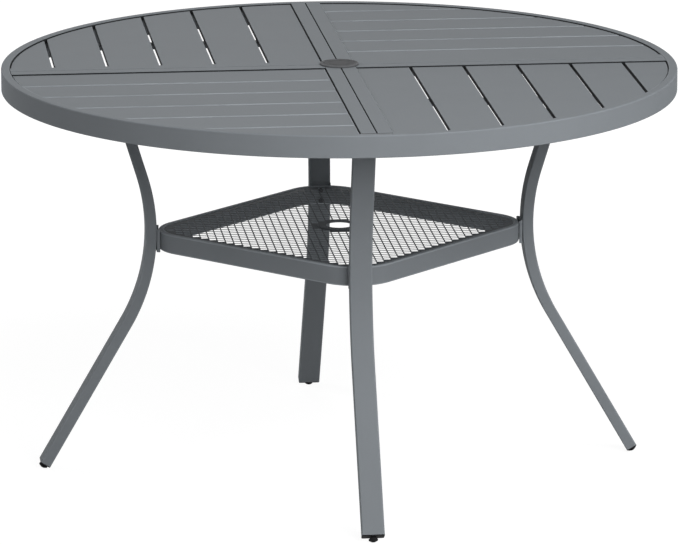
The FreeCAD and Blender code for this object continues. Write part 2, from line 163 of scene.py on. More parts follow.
# %% From outlines to surfaces
def at_height(outline, height):
    """An outline of (x, y) points with the same height for all of them."""
    return np.column_stack([outline, np.full(len(outline), height)])


def full_turn(segments):
    """Equal steps once round. The last step ends where the first begins, so it is left out."""
    return np.linspace(0, 2 * math.pi, segments, endpoint=False)


def around(outline, segments):
    """A ring: an outline of (radius, height) turned about the Z axis, one row to each angle."""
    angle = full_turn(segments)[:, None]
    radius, height = outline[None, :, 0], outline[None, :, 1]
    grid = np.stack([radius * np.cos(angle), radius * np.sin(angle), height + 0 * angle], axis=-1)
    return shell(grid, wrap_rows=True)


def about_axis(rows, angle):
    """A solid about the Z axis from rows of (radius, height), either of which may vary with the angle."""
    grid = [np.column_stack([radius * np.cos(angle), radius * np.sin(angle), height + 0 * angle])
            for radius, height in rows]
    return shell(np.array(grid))


def turned(surface, quarters):
    """A surface turned about the Z axis by whole quarters: (x, y) becomes (-y, x) each time."""
    points, faces = surface
    c, s = [(1, 0), (0, 1), (-1, 0), (0, -1)][quarters % 4]
    x, y = points[:, 0], points[:, 1]
    return np.stack([c * x - s * y, s * x + c * y, points[:, 2]], axis=1), faces


def joined(shells):
    """Several closed surfaces as one set of points and faces."""
    starts = np.cumsum([0] + [len(points) for points, _ in shells[:-1]])
    points = np.concatenate([points for points, _ in shells])
    return points, [group + start for (_, faces), start in zip(shells, starts) for group in faces]


def at_four_corners(surface):
    """A surface and its three copies, each turned by one more quarter."""
    return joined([turned(surface, quarters) for quarters in range(4)])


print("a small ring has", len(around(rectangle(2, 2, 0.5), 8)[0]), "points")

# %% [markdown]
# ## Where the edges are
# Paint and plastic are made lighter along rounded edges: a painted highlight where an edge catches the
# light, along with a little rubbed wear. The mesh itself tells the material where that is: each point
# carries a number, 1 on a rounded edge and 0 elsewhere. There two neighbouring faces turn away from each
# other by a small angle. A flat turns less, and a crease more.

# %% Rounded places
NEAR_FLAT, CREASE = 5, 32


def face_normals(points, faces):
    """Unit normals: the sum over a face's corners of each corner's place cross the next one's."""
    areas = [np.cross(points[group], np.roll(points[group], -1, axis=1)).sum(axis=1) for group in faces]
    areas = np.concatenate(areas)
    return areas / np.maximum(np.linalg.norm(areas, axis=1, keepdims=True), 1e-12)


def shared_sides(faces):
    """The sides that two faces share, as pairs of points, and the numbers of the two faces. Sorted by
    its points, such a side stands beside its copy."""
    sides = [np.stack([group, np.roll(group, -1, axis=1)], axis=-1).reshape(-1, 2) for group in faces]
    sides = np.sort(np.concatenate(sides), axis=1)
    corners = np.concatenate([np.full(len(group), group.shape[1]) for group in faces])
    owner = np.repeat(np.arange(len(corners)), corners)
    order = np.lexsort((sides[:, 0], sides[:, 1]))
    sides, owner = sides[order], owner[order]
    shared = np.all(sides[1:] == sides[:-1], axis=1)
    return sides[:-1][shared], owner[:-1][shared], owner[1:][shared]


def rounded_places(points, faces):
    """1 at both points of a side whose faces turn outward by an angle between near flat and a crease."""
    normals = face_normals(points, faces)
    middles = np.concatenate([points[group].mean(axis=1) for group in faces])
    sides, one, other = shared_sides(faces)
    turn = np.degrees(np.arccos(np.clip(np.sum(normals[one] * normals[other], axis=1), -1, 1)))
    convex = np.sum(normals[one] * (middles[other] - middles[one]), axis=1) < 0
    value = np.zeros(len(points))
    value[sides[convex & (turn > NEAR_FLAT) & (turn < CREASE)].ravel()] = 1.0
    return value


print("rounded points of a small ring:", int(rounded_places(*around(rectangle(2, 2, 0.5), 64)).sum()))

# %% [markdown]
# ## From points to a piece
# A piece needs a mesh, smooth shading that keeps its real creases, the numbers of its rounded places, a
# material, the body that it rides on and the frame nodes that it stands for. One helper does all of
# this. It also compares the new piece's box with the nodes' boxes, so that a piece in the wrong place
# shows at once. The paint with the stronger painted edge highlight and the sheet's paint are the same
# grey paint to the record.

# %% Make a piece
MATERIALS = {}


def make_piece(name, surface, material, body, *nodes):
    """A mesh from millimetre points and faces, in metres, dressed and hung on its body."""
    points, faces = surface
    mesh = bpy.data.meshes.new(name)
    mesh.from_pydata((points * MM).tolist(), [], [face for group in faces for face in group.tolist()])
    mesh.shade_smooth()
    mesh.set_sharp_from_angle(angle=math.radians(CREASE))
    mesh.attributes.new("edge", "FLOAT", "POINT").data.foreach_set("value", rounded_places(points, faces))
    mesh.materials.append(MATERIALS[material])
    piece = bpy.data.objects.new(name, mesh)
    bpy.context.scene.collection.objects.link(piece)
    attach(piece, body)
    if nodes:
        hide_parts(*nodes)
        low, high = points.min(axis=0) * MM, points.max(axis=0) * MM
        node_low = np.min([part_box(node)[0] for node in nodes], axis=0)
        node_high = np.max([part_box(node)[1] for node in nodes], axis=0)
        off = max(np.abs(low - node_low).max(), np.abs(high - node_high).max()) / MM
        print("%-28s %6d faces, box off by %.2f mm" % (name, len(mesh.polygons), off))


# %% [markdown]
# ## Paint, plastic and steel
# The frame is powder coated: a satin film with the faint orange peel of melted powder and a barely
# uneven tone. It is lighter along rounded edges, a painted highlight where they catch the light along
# with a little wear, and the walls of the narrow joints of the top are darkened with painted shade.
# These effects are one node group, so that each finish can use them with its own values. The group puts
# out a colour, a roughness and a normal. The shader itself stays in the material, and so does each
# number that is the same all over a piece.


# %% Node helpers
def add_node(tree, kind, properties=None, inputs=None):
    """A node with its properties set and its inputs fed by values or by other nodes' outputs."""
    new = tree.nodes.new(kind)
    for key, value in (properties or {}).items():
        setattr(new, key, value)
    for key, value in (inputs or {}).items():
        if isinstance(value, bpy.types.NodeSocket):
            tree.links.new(value, new.inputs[key])
        else:
            new.inputs[key].default_value = value
    return new


def maths(tree, operation, *values, clamp=False):
    """The result of a Math node on these values or outputs. MULTIPLY_ADD is first * second + third."""
    properties = {"operation": operation, "use_clamp": clamp}
    return add_node(tree, "ShaderNodeMath", properties, dict(enumerate(values))).outputs[0]


def ramp(tree, value, low, high, at_low, at_high, blend="LINEAR"):
    """A value carried from the range low to high over to at_low to at_high, and held at the ends."""
    inputs = {"Value": value, "From Min": low, "From Max": high, "To Min": at_low, "To Max": at_high}
    return add_node(tree, "ShaderNodeMapRange", {"interpolation_type": blend}, inputs).outputs[0]


def new_group(name, inputs, outputs):
    """An empty node group with named inputs (kind, default) and outputs (kind)."""
    group = bpy.data.node_groups.new(name, "ShaderNodeTree")
    for key, (kind, default) in inputs.items():
        socket = group.interface.new_socket(key, in_out="INPUT", socket_type=kind)
        socket.default_value = default
    for key, kind in outputs.items():
        group.interface.new_socket(key, in_out="OUTPUT", socket_type=kind)
    return group, group.nodes.new("NodeGroupInput"), group.nodes.new("NodeGroupOutput")


print("node helpers:", ", ".join(helper.__name__ for helper in (add_node, maths, ramp, new_group)))

# %% Surface grain group
COLOUR, NUMBER, VECTOR = "NodeSocketColor", "NodeSocketFloat", "NodeSocketVector"
grain, grain_in, grain_out = new_group(
    "surface_grain",
    {"Colour": (COLOUR, (0.2, 0.2, 0.2, 1)), "Mottle": (NUMBER, 0.04), "Grain Scale": (NUMBER, 700.0),
     "Grain Depth": (NUMBER, 0.00002), "Roughness": (NUMBER, 0.5), "Roughness Spread": (NUMBER, 0.05),
     "Edge Highlight And Wear": (NUMBER, 0.2), "Joint Shade": (NUMBER, 0.0)},
    {"Colour": COLOUR, "Roughness": NUMBER, "Normal": VECTOR})
wanted = grain_in.outputs
place = add_node(grain, "ShaderNodeTexCoord").outputs["Object"]
print("surface_grain takes", [socket.name for socket in wanted if socket.name])


# %% Mottle, and painted highlight with wear on edges
def noise(scale, detail, roughness):
    """Noise on Object coordinates, so its grain has the same real size on every piece."""
    inputs = {"Vector": place, "Scale": scale, "Detail": detail, "Roughness": roughness}
    return add_node(grain, "ShaderNodeTexNoise", None, inputs).outputs["Fac"]


fine = noise(wanted["Grain Scale"], 3.0, 0.55)
cloudy = noise(11.0, 4.0, 0.6)
speckle = noise(260.0, 2.0, 0.7)
SPECKLE_SHARE, NOISE_MIDDLE = 0.4, 0.7
both = maths(grain, "MULTIPLY_ADD", speckle, SPECKLE_SHARE, cloudy)
lifted = maths(grain, "MULTIPLY_ADD", both, wanted["Mottle"], 1.0)
mottled = maths(grain, "MULTIPLY_ADD", wanted["Mottle"], -NOISE_MIDDLE, lifted)
edge = add_node(grain, "ShaderNodeAttribute", {"attribute_name": "edge"}).outputs["Fac"]
# The edge number times its value brightens the colour: a painted highlight on rounded edges, along with
# wear.
edge_highlight_and_wear = maths(grain, "MULTIPLY", edge, wanted["Edge Highlight And Wear"])
patches = ramp(grain, cloudy, 0.3, 0.7, 0.6, 1.4)
brightness = maths(grain, "MULTIPLY_ADD", edge_highlight_and_wear, patches, mottled)
print("brightness: 1 + mottle * noise + wear on edges * patches")

# %% [markdown]
# ## Painted shade in the joints
# The joints of the top are a few millimetres wide, and their walls look nearly black, as little light
# gets into them. A plain soft light leaves them grey, so the group paints shade on those walls: they are
# steep, they lie in the uppermost millimetres of the table and inside the rim. It also makes them
# rougher.

# %% Painted shade on joint walls
JOINT_FOOT, JOINT_HEAD, JOINT_REACH = (TOP - 14.0) * MM, (TOP - 8.0) * MM, 600.0 * MM
slope = add_node(grain, "ShaderNodeSeparateXYZ", None,
                 {0: add_node(grain, "ShaderNodeNewGeometry").outputs["Normal"]}).outputs["Z"]
wall = ramp(grain, maths(grain, "ABSOLUTE", slope), 0.35, 0.8, 1.0, 0.0)
height = add_node(grain, "ShaderNodeSeparateXYZ", None, {0: place}).outputs["Z"]
high = ramp(grain, height, JOINT_FOOT, JOINT_HEAD, 0.0, 1.0)
level = add_node(grain, "ShaderNodeVectorMath", {"operation": "MULTIPLY"}, {0: place, 1: (1, 1, 0)})
reach = add_node(grain, "ShaderNodeVectorMath", {"operation": "LENGTH"}, {0: level.outputs[0]})
within = maths(grain, "LESS_THAN", reach.outputs["Value"], JOINT_REACH)
painted_joint_shade = maths(grain, "MULTIPLY", maths(grain, "MULTIPLY", wall, high), within)
painted_joint_shade = maths(grain, "MULTIPLY", painted_joint_shade, wanted["Joint Shade"])
print("joint walls from %.3f m up" % JOINT_FOOT)

# %% Outputs of the group
JOINT_ROUGHNESS = 0.5
# The painted joint shade takes light away from the colour of those walls.
light_kept = maths(grain, "SUBTRACT", 1.0, painted_joint_shade)
tone = add_node(grain, "ShaderNodeVectorMath", {"operation": "SCALE"},
                {0: wanted["Colour"], "Scale": maths(grain, "MULTIPLY", brightness, light_kept)})
rough = maths(grain, "MULTIPLY_ADD", fine, wanted["Roughness Spread"], wanted["Roughness"])
rough = maths(grain, "MULTIPLY_ADD", painted_joint_shade, JOINT_ROUGHNESS, rough, clamp=True)
bump = add_node(grain, "ShaderNodeBump", None,
                {"Height": fine, "Distance": wanted["Grain Depth"], "Strength": 1.0})
grain.links.new(tone.outputs[0], grain_out.inputs["Colour"])
grain.links.new(rough, grain_out.inputs["Roughness"])
grain.links.new(bump.outputs[0], grain_out.inputs["Normal"])
print("surface_grain has", len(grain.nodes), "nodes")

# %% [markdown]
# ## Finishes
# The paint is a blue grey that throws back a fifth of the light. The plain paint paints shade on the
# walls of the top's joints. The slats that run left to right and the shelf's band get a stronger painted
# highlight on their rounded edges, along with more wear, and the punched sheet is darker. The umbrella
# ring and its cap are dull grey plastics, with a strong painted highlight on the ring's edges, the feet
# and spacers are black plastic, and the bolts are blackened steel.


# %% Finishes
def new_finish(name, colour, texture, metallic=0.0, specular=0.5, highlight_and_wear=0.15, joints=0.0):
    """A material with one Principled shader, fed by the surface grain with this finish's values."""
    material = bpy.data.materials.new(name)
    material.use_nodes = True
    tree = material.node_tree
    shader = tree.nodes["Principled BSDF"]
    coat = add_node(tree, "ShaderNodeGroup", {"node_tree": grain},
                    {"Colour": (*colour, 1), "Edge Highlight And Wear": highlight_and_wear, "Joint Shade": joints, **texture})
    tree.links.new(coat.outputs["Colour"], shader.inputs["Base Color"])
    tree.links.new(coat.outputs["Roughness"], shader.inputs["Roughness"])
    tree.links.new(coat.outputs["Normal"], shader.inputs["Normal"])
    shader.inputs["Metallic"].default_value = metallic
    shader.inputs["Specular IOR Level"].default_value = specular
    MATERIALS[name] = material


BLUE_GREY, SHEET_GREY = (0.202, 0.219, 0.235), (0.095, 0.104, 0.112)
POWDER = {"Mottle": 0.07, "Grain Scale": 620.0, "Grain Depth": 0.00005, "Roughness": 0.70,
          "Roughness Spread": 0.10}
MOULDED = {"Mottle": 0.06, "Grain Scale": 1500.0, "Grain Depth": 0.00003, "Roughness": 0.70,
           "Roughness Spread": 0.12}
MOULDED_BLACK = {**MOULDED, "Mottle": 0.10, "Grain Scale": 1800.0, "Roughness": 0.66}
BLACKENED = {"Mottle": 0.20, "Grain Scale": 900.0, "Grain Depth": 0.00002, "Roughness": 0.46,
             "Roughness Spread": 0.12}
# The first paint darkens the walls of the top's joints with painted shade; the second has none, and a
# stronger painted highlight along its rounded edges, along with wear.
new_finish("grey_paint", BLUE_GREY, POWDER, specular=0.2, highlight_and_wear=0.12, joints=0.92)
new_finish("highlit_worn_paint", BLUE_GREY, POWDER, specular=0.2, highlight_and_wear=0.5)
new_finish("sheet_paint", SHEET_GREY, {**POWDER, "Mottle": 0.10}, specular=0.15, highlight_and_wear=0.5)
# The ring's high edge value paints a highlight on the rounded edge of its flange, along with wear.
new_finish("grey_plastic", (0.062, 0.064, 0.067), MOULDED, specular=0.2, highlight_and_wear=0.9)
new_finish("dark_plastic", (0.046, 0.047, 0.050), {**MOULDED, "Roughness": 0.72}, specular=0.2, highlight_and_wear=0.4)
new_finish("black_plastic", (0.010, 0.010, 0.011), MOULDED_BLACK, specular=0.12)
new_finish("black_steel", (0.022, 0.022, 0.024), BLACKENED, metallic=0.6)
print("finishes:", sorted(MATERIALS))

# %% [markdown]
# ## Rim
# The rim is one length of rectangular tube rolled into a ring and welded shut. It could be a circle
# curve with a bevel, but turning a rounded outline about the axis gives exact radii and a clean grid.

# %% Rim ring
RIM_STEPS = 480
rim_middle = (RIM_RADIUS - RIM_WIDTH / 2, TOP - RIM_DEPTH / 2)
rim_outline = rectangle(RIM_WIDTH, RIM_DEPTH, RIM_CORNER, rim_middle)
make_piece("rim", around(rim_outline, RIM_STEPS), "grey_paint", "table", "rim_ring")

# %% [markdown]
# ## Cross arms
# Eight arms meet at the umbrella sleeve, in pairs side by side. Each end at the rim is cut to its curve,
# so every point of the section has an end of its own, where its own line meets the circle. The arms at
# the back and front are coped round the sleeve in the same way, and the side ones butt against them.

# %% Arm sizes and ends
ARM_WIDTH, ARM_DEPTH, ARM_CORNER, ARM_SEAM = 27.0, 20.0, 1.5, 1.6
ARM_MIDDLE = (ARM_WIDTH + ARM_SEAM) / 2
ARM_EDGE = ARM_SEAM / 2 + ARM_WIDTH
ARM_END_GAP, COPE_RADIUS = 12.0, 26.5


def rim_reach(across):
    """How far a line at this distance from the axis runs before it meets the rim's inside."""
    return np.sqrt((RIM_INSIDE - WELD_GAP) ** 2 - across ** 2)


def cope_start(across):
    """Where that line leaves the circle round the sleeve, but no nearer the middle than the end gap."""
    return np.maximum(np.sqrt(np.maximum(COPE_RADIUS ** 2 - across ** 2, 0)), ARM_END_GAP / 2)


def butt_start(across):
    """The side arms all start at the side of the back and front ones."""
    return ARM_EDGE + WELD_GAP + 0 * across


print("an arm's middle line reaches %.1f mm" % rim_reach(ARM_MIDDLE))


# %% Arms
def arm(row, start):
    """One tube towards the right. Its section is closed on itself and capped at both shaped ends."""
    section = rectangle(ARM_WIDTH, ARM_DEPTH, ARM_CORNER, (row * ARM_MIDDLE, TOP - ARM_DEPTH / 2))
    across, height = section[None, :, 0], section[None, :, 1]
    reach = rim_reach(across)
    near = start(np.abs(across))
    along = near + (reach - near) * np.array([0.0, 0.5, 1.0])[:, None]
    return shell(np.stack([along, across + 0 * along, height + 0 * along], axis=-1))


ARM_PLACES = {"right": (0, butt_start, ("back", "front")), "back": (1, cope_start, ("left", "right")),
              "left": (2, butt_start, ("front", "back")), "front": (3, cope_start, ("right", "left"))}
for direction, (quarters, start, sides) in ARM_PLACES.items():
    for side, row in zip(sides, (1, -1)):
        make_piece("arm_%s_%s_tube" % (direction, side), turned(arm(row, start), quarters),
                   "grey_paint", "table", "arm_%s_%s" % (direction, side))

# %% [markdown]
# ## Slats
# Each slat is a tray of thin sheet folded down along its edges, open below, and its outer end follows
# the rim. The outline drawn in by any distance is known exactly, a rectangle cut by a circle, so the
# whole tray is that outline carried from the ceiling inside, down, round the fold and over the top.
# The slats keep a narrow gap from the arms, but those at the right of the back and front arms lie close
# against them. Slats that run left to right get a stronger painted highlight on their rounded edges,
# along with wear, and those that run front to back get painted shade on their joint walls, apart from the
# one that lies against the front arm.

# %% Slat outline
SLATS, SLAT_FIRST, SLAT_WIDTH, SLAT_GAP = 6, 94.5, 92.0, 5.0
SLAT_EDGE_GAP, SLAT_CLOSE = 1.2, 0.1
SLAT_TOP, SLAT_DEPTH, SLAT_SHEET, SLAT_FOLD = TOP - 2.4, 7.6, 0.9, 2.0
FOLD_GUARD, POINT_GAP = 0.2, 0.01


def slat_outline(number, inset, end_gap, side_gap, arc_points=20):
    """The outer end as points on the rim's circle drawn in by the inset, then two corners at the arm.
    The last slat has no straight side left at the arm, so its corner sits just below the arc's end."""
    start = ARM_EDGE + end_gap
    far = ARM_EDGE + SLAT_EDGE_GAP + SLAT_FIRST + number * (SLAT_WIDTH + SLAT_GAP)
    near = far - SLAT_WIDTH if number else ARM_EDGE + side_gap
    circle = RIM_INSIDE - SLAT_EDGE_GAP - inset
    low = math.asin((near + inset) / circle)
    last = number == SLATS - 1
    high = math.acos((start + inset) / circle) if last else math.asin((far - inset) / circle)
    angle = np.linspace(low, high, arc_points)
    arc = np.stack([circle * np.cos(angle), circle * np.sin(angle)], axis=1)
    inner = np.array([(start + inset, arc[-1, 1]), (start + inset, near + inset)])
    inner[0, 1] -= POINT_GAP if last else 0.0
    return np.concatenate([arc, inner])


print("a slat's outline has", len(slat_outline(0, 0.0, SLAT_EDGE_GAP, SLAT_EDGE_GAP)), "points")


# %% Slats
def slat_profile(steps=6):
    """(inset, height) from the ceiling round the inner fold, down, up outside and over the outer fold.
    Each fold is a quarter of a circle about the same centre, the inner one smaller by the sheet."""
    swing = np.linspace(0, math.pi / 2, steps)
    fold, inner = SLAT_FOLD, SLAT_FOLD - SLAT_SHEET
    flat, centre, foot = fold + FLAT_GUARD, SLAT_TOP - fold, SLAT_TOP - SLAT_DEPTH
    rows = [(flat, SLAT_TOP - SLAT_SHEET)]
    rows += [(fold - inner * math.cos(a), centre + inner * math.sin(a)) for a in swing[::-1]]
    rows += [(SLAT_SHEET, foot), (0.0, foot), (0.0, centre - FOLD_GUARD)]
    rows += [(fold - fold * math.cos(a), centre + fold * math.sin(a)) for a in swing]
    return rows + [(flat, SLAT_TOP)]


def slat(number, end_gap, side_gap):
    """The slat's outline drawn in and lifted by each row of the profile."""
    grid = [at_height(slat_outline(number, inset, end_gap, side_gap), height)
            for inset, height in slat_profile()]
    return shell(np.array(grid))


for quadrant, quarters in QUADRANTS.items():
    end_gap = SLAT_CLOSE if quadrant == "back_right" else SLAT_EDGE_GAP
    side_gap = SLAT_CLOSE if quadrant == "front_right" else SLAT_EDGE_GAP
    for number in range(SLATS):
        node = "slat_%s_%d" % (quadrant, number + 1)
        # Slats that run front to back get painted shade on their joint walls; the others, and the first
        # one against the front arm, get the paint with the stronger painted edge highlight.
        joints = quarters % 2 and node != "slat_front_right_1"
        make_piece(node + "_tray", turned(slat(number, end_gap, side_gap), quarters),
                   "grey_paint" if joints else "highlit_worn_paint", "table", node)

# %% [markdown]
# ## Slat supports
# A small tube crosses under the slats of each quadrant and carries them. It is made like an arm, as a
# rounded section carried straight from the arm's side to the rim, with its outer end cut to the curve.

# %% Slat supports
SUPPORT_WIDTH, SUPPORT_DEPTH, SUPPORT_CORNER, SUPPORT_PLACE = 20.0, 10.0, 1.0, 281.0


def slat_support():
    """The back right quadrant's tube, from the side of the right arm out to the rim."""
    middle = (SUPPORT_PLACE, SLAT_TOP - SLAT_DEPTH - SUPPORT_DEPTH / 2)
    section = rectangle(SUPPORT_WIDTH, SUPPORT_DEPTH, SUPPORT_CORNER, middle)
    across, height = section[None, :, 0], section[None, :, 1]
    along = np.concatenate([ARM_EDGE + WELD_GAP + 0 * across, rim_reach(across)])
    return shell(np.stack([across + 0 * along, along, height + 0 * along], axis=-1))


for quadrant, quarters in QUADRANTS.items():
    make_piece("slat_support_%s_tube" % quadrant, turned(slat_support(), quarters),
               "grey_paint", "table", "slat_support_" + quadrant)

# %% [markdown]
# ## Umbrella ring and cap
# The ring is moulded: a low flange on the arms, a recess for the cap and a sleeve down through the
# crossing. The cap is a disc that sits in the recess. Both are turned shapes, so each is an outline of
# radius and height carried round the axis.

# %% Umbrella ring
BORE, SLEEVE, FLANGE, RECESS, SPIGOT_ROOM = 24.4, 26.2, 35.0, 28.8, 24.9
SLEEVE_FOOT, SPIGOT_STOP, RECESS_FLOOR, FLANGE_TOP = 714.0, 731.4, 741.4, 743.4
SHARP, FLANGE_ROUND = 0.3, 2.2
ring_outline = softened(
    [(BORE, SLEEVE_FOOT), (SLEEVE, SLEEVE_FOOT), (SLEEVE, TOP), (FLANGE, TOP), (FLANGE, FLANGE_TOP),
     (RECESS, FLANGE_TOP), (RECESS, RECESS_FLOOR), (SPIGOT_ROOM, RECESS_FLOOR),
     (SPIGOT_ROOM, SPIGOT_STOP), (BORE, SPIGOT_STOP)],
    [SHARP, SHARP, SHARP, SHARP, FLANGE_ROUND, 0.5, SHARP, SHARP, 0.2, 0.1], guard=0.04)
make_piece("umbrella_ring_moulding", around(ring_outline, 160), "grey_plastic", "table", "umbrella_ring")

# %% Umbrella cap
DISC, DISC_TOP, SPIGOT, SPIGOT_INSIDE, SPIGOT_FOOT = 28.5, 743.0, 24.6, 23.0, 734.4
GROOVE_OUT, GROOVE_IN, GROOVE_DEPTH, AXIS_HOLE = 20.5, 18.5, 0.3, 1.0


def open_outline(corners, radius, steps=4, guard=0.1):
    """The same rounding for an open line of (radius, height) corners, by closing it on the axis."""
    points = softened(list(corners) + [(-1.0, corners[-1][1]), (-1.0, corners[0][1])],
                      list(radius) + [0.0, 0.0], steps, guard)
    return points[:len(corners) * (steps + 2)]


cap_outline = open_outline(
    [(AXIS_HOLE, RECESS_FLOOR), (SPIGOT_INSIDE, RECESS_FLOOR), (SPIGOT_INSIDE, SPIGOT_FOOT),
     (SPIGOT, SPIGOT_FOOT), (SPIGOT, RECESS_FLOOR), (DISC, RECESS_FLOOR), (DISC, DISC_TOP),
     (GROOVE_OUT, DISC_TOP), (GROOVE_OUT - GROOVE_DEPTH, DISC_TOP - GROOVE_DEPTH),
     (GROOVE_IN + GROOVE_DEPTH, DISC_TOP - GROOVE_DEPTH), (GROOVE_IN, DISC_TOP), (AXIS_HOLE, DISC_TOP)],
    [0.0, SHARP, SHARP, SHARP, SHARP, 0.2, 0.6, 0.1, 0.1, 0.1, 0.1, 0.0])
make_piece("umbrella_cap_disc", about_axis(cap_outline, full_turn(128)), "dark_plastic", "umbrella_cap",
           "umbrella_cap")

# %% [markdown]
# ## Shelf band
# The shelf's frame is rectangular tube bent into a rounded square with its corners on the axes. The
# outline drawn in by any distance stays a rounded square with a smaller radius, so the tube is a grid:
# a row for each place round the square and a column for each point of the section.

# %% Shelf outline and band
SHELF_TOP, SHELF_SIDE, SHELF_CORNER = 442.5, 511.2, 78.0
BAND_WIDTH, BAND_DEPTH, BAND_CORNER = 10.0, 35.0, 2.4
BAND_MIDDLE = SHELF_TOP - BAND_DEPTH / 2
BAND_APEX = SHELF_SIDE / math.sqrt(2) - SHELF_CORNER * (math.sqrt(2) - 1)


def shelf_outline(inset, corner_steps=25):
    """Places round the shelf: each corner's centre plus the drawn-in radius swung through a quarter."""
    reach = (SHELF_SIDE / 2 - SHELF_CORNER) * math.sqrt(2)
    swing = np.linspace(-math.pi / 4, math.pi / 4, corner_steps)
    angle = np.arange(4)[:, None] * math.pi / 2 + swing
    axis = np.arange(4)[:, None] * math.pi / 2
    x = reach * np.cos(axis) + (SHELF_CORNER - inset) * np.cos(angle)
    y = reach * np.sin(axis) + (SHELF_CORNER - inset) * np.sin(angle)
    return np.stack([x.ravel(), y.ravel()], axis=1)


def shelf_band():
    """Rows round the shelf, columns round the tube's section of (inset, height)."""
    section = rectangle(BAND_WIDTH, BAND_DEPTH, BAND_CORNER, (BAND_WIDTH / 2, BAND_MIDDLE))
    columns = [at_height(shelf_outline(inset), height) for inset, height in section]
    return shell(np.stack(columns, axis=1), wrap_rows=True)


# The band takes the paint with the stronger painted highlight on its rounded edges, along with wear.
make_piece("shelf_band_tube", shelf_band(), "highlit_worn_paint", "table", "shelf_band")

# %% [markdown]
# ## Punched shelf sheet
# The sheet has about a thousand square holes at a pitch of 14 mm, in rows along X and Y, and a plain
# margin with steps along the slanting edges, because only whole holes are punched. A grid of lines at
# the edges of the holes cuts the plane into cells. The cells that are no hole become the top and the
# bottom, and each edge that only one cell uses gets a wall.

# %% Which cells are metal
SHEET_TOP, SHEET_THICKNESS = SHELF_TOP - 1.5, 0.8
PITCH, STRIP = 14.0, 2.1
HALF_HOLE = (PITCH - STRIP) / 2
SHEET_MARGIN, POLE_HOLE, POLE_MARGIN = 3.0, 33.5, 37.0


def inside_shelf(x, y, inset):
    """True where a point lies within the shelf's outline drawn in by the inset."""
    reach, radius = SHELF_SIDE / 2 - SHELF_CORNER, SHELF_CORNER - inset
    a = np.maximum(np.abs(x + y) / math.sqrt(2) - reach, 0)
    b = np.maximum(np.abs(x - y) / math.sqrt(2) - reach, 0)
    return np.hypot(a, b) <= radius


def hole_is_punched(x, y):
    """True for hole centres whose four corners lie inside the margin and clear of the pole's ring."""
    whole = np.ones_like(x, bool)
    for a, b in ((-1, -1), (1, -1), (1, 1), (-1, 1)):
        whole &= inside_shelf(x + a * HALF_HOLE, y + b * HALF_HOLE, BAND_WIDTH + SHEET_MARGIN)
    nearest = np.hypot(np.maximum(np.abs(x) - HALF_HOLE, 0), np.maximum(np.abs(y) - HALF_HOLE, 0))
    return whole & (nearest > POLE_MARGIN)


print("holes of %.1f mm between strips of %.1f mm" % (2 * HALF_HOLE, STRIP))


# %% Cells of the sheet
def sheet_cells():
    """Lines at k * pitch -+ half a hole cut the plane. Even cells in both directions may be holes."""
    count = int(SHELF_SIDE / math.sqrt(2) / PITCH) + 1
    numbers = np.arange(-count, count + 1) * PITCH
    lines = np.sort(np.concatenate([numbers - HALF_HOLE, numbers + HALF_HOLE]))
    x, y = np.meshgrid(lines, lines, indexing="ij")
    i, j = np.meshgrid(np.arange(len(lines) - 1), np.arange(len(lines) - 1), indexing="ij")
    middle_x, middle_y = (x[:-1, :-1] + x[1:, 1:]) / 2, (y[:-1, :-1] + y[1:, 1:]) / 2
    metal = inside_shelf(x, y, BAND_WIDTH + WELD_GAP) & (np.hypot(x, y) > POLE_HOLE)
    solid = metal[:-1, :-1] | metal[1:, :-1] | metal[1:, 1:] | metal[:-1, 1:]
    solid &= ~((i % 2 == 0) & (j % 2 == 0) & hole_is_punched(middle_x, middle_y))
    i, j, n = i[solid], j[solid], len(lines)
    cells = np.stack([i * n + j, (i + 1) * n + j, (i + 1) * n + j + 1, i * n + j + 1], axis=1)
    return np.stack([x.ravel(), y.ravel()], axis=1), cells


plane_points, metal_cells = sheet_cells()
print("sheet cells:", len(metal_cells))


# %% Sheet with walls
def pulled_to_edges(points):
    """Points past the sheet's edge come back to it, and those in the pole hole go out to its circle."""
    x, y = points[:, 0], points[:, 1]
    reach, radius = SHELF_SIDE / 2 - SHELF_CORNER, SHELF_CORNER - BAND_WIDTH - WELD_GAP
    u, v = (x + y) / math.sqrt(2), (x - y) / math.sqrt(2)
    cu, cv = np.clip(u, -reach, reach), np.clip(v, -reach, reach)
    away = np.maximum(np.hypot(u - cu, v - cv), 1e-9)
    pull = np.minimum(1, radius / away)
    u, v = cu + (u - cu) * pull, cv + (v - cv) * pull
    x, y = (u + v) / math.sqrt(2), (u - v) / math.sqrt(2)
    push = np.maximum(1, POLE_HOLE / np.maximum(np.hypot(x, y), 1e-9))
    return np.stack([x * push, y * push], axis=1)


def thick_sheet(points, cells, top, thickness):
    """Top cells, the same cells turned over below, and a wall under every edge used only once."""
    used, cells = np.unique(cells, return_inverse=True)
    cells = cells.reshape(-1, 4)
    flat = pulled_to_edges(points[used])
    edges = np.stack([cells, np.roll(cells, -1, axis=1)], axis=-1).reshape(-1, 2)
    _, first, uses = np.unique(np.sort(edges, axis=1), axis=0, return_index=True, return_counts=True)
    rim = edges[first[uses == 1]]
    n = len(flat)
    walls = np.stack([rim[:, 1], rim[:, 0], rim[:, 0] + n, rim[:, 1] + n], axis=1)
    both_sides = np.concatenate([at_height(flat, top), at_height(flat, top - thickness)])
    return outward(both_sides, [np.concatenate([cells, cells[:, ::-1] + n, walls])])


make_piece("shelf_sheet", thick_sheet(plane_points, metal_cells, SHEET_TOP, SHEET_THICKNESS),
           "sheet_paint", "table", "shelf_mesh")

# %% [markdown]
# ## Ring round the pole hole
# A flat washer is welded on the sheet where the umbrella's pole goes through. It is one more outline
# turned about the axis.

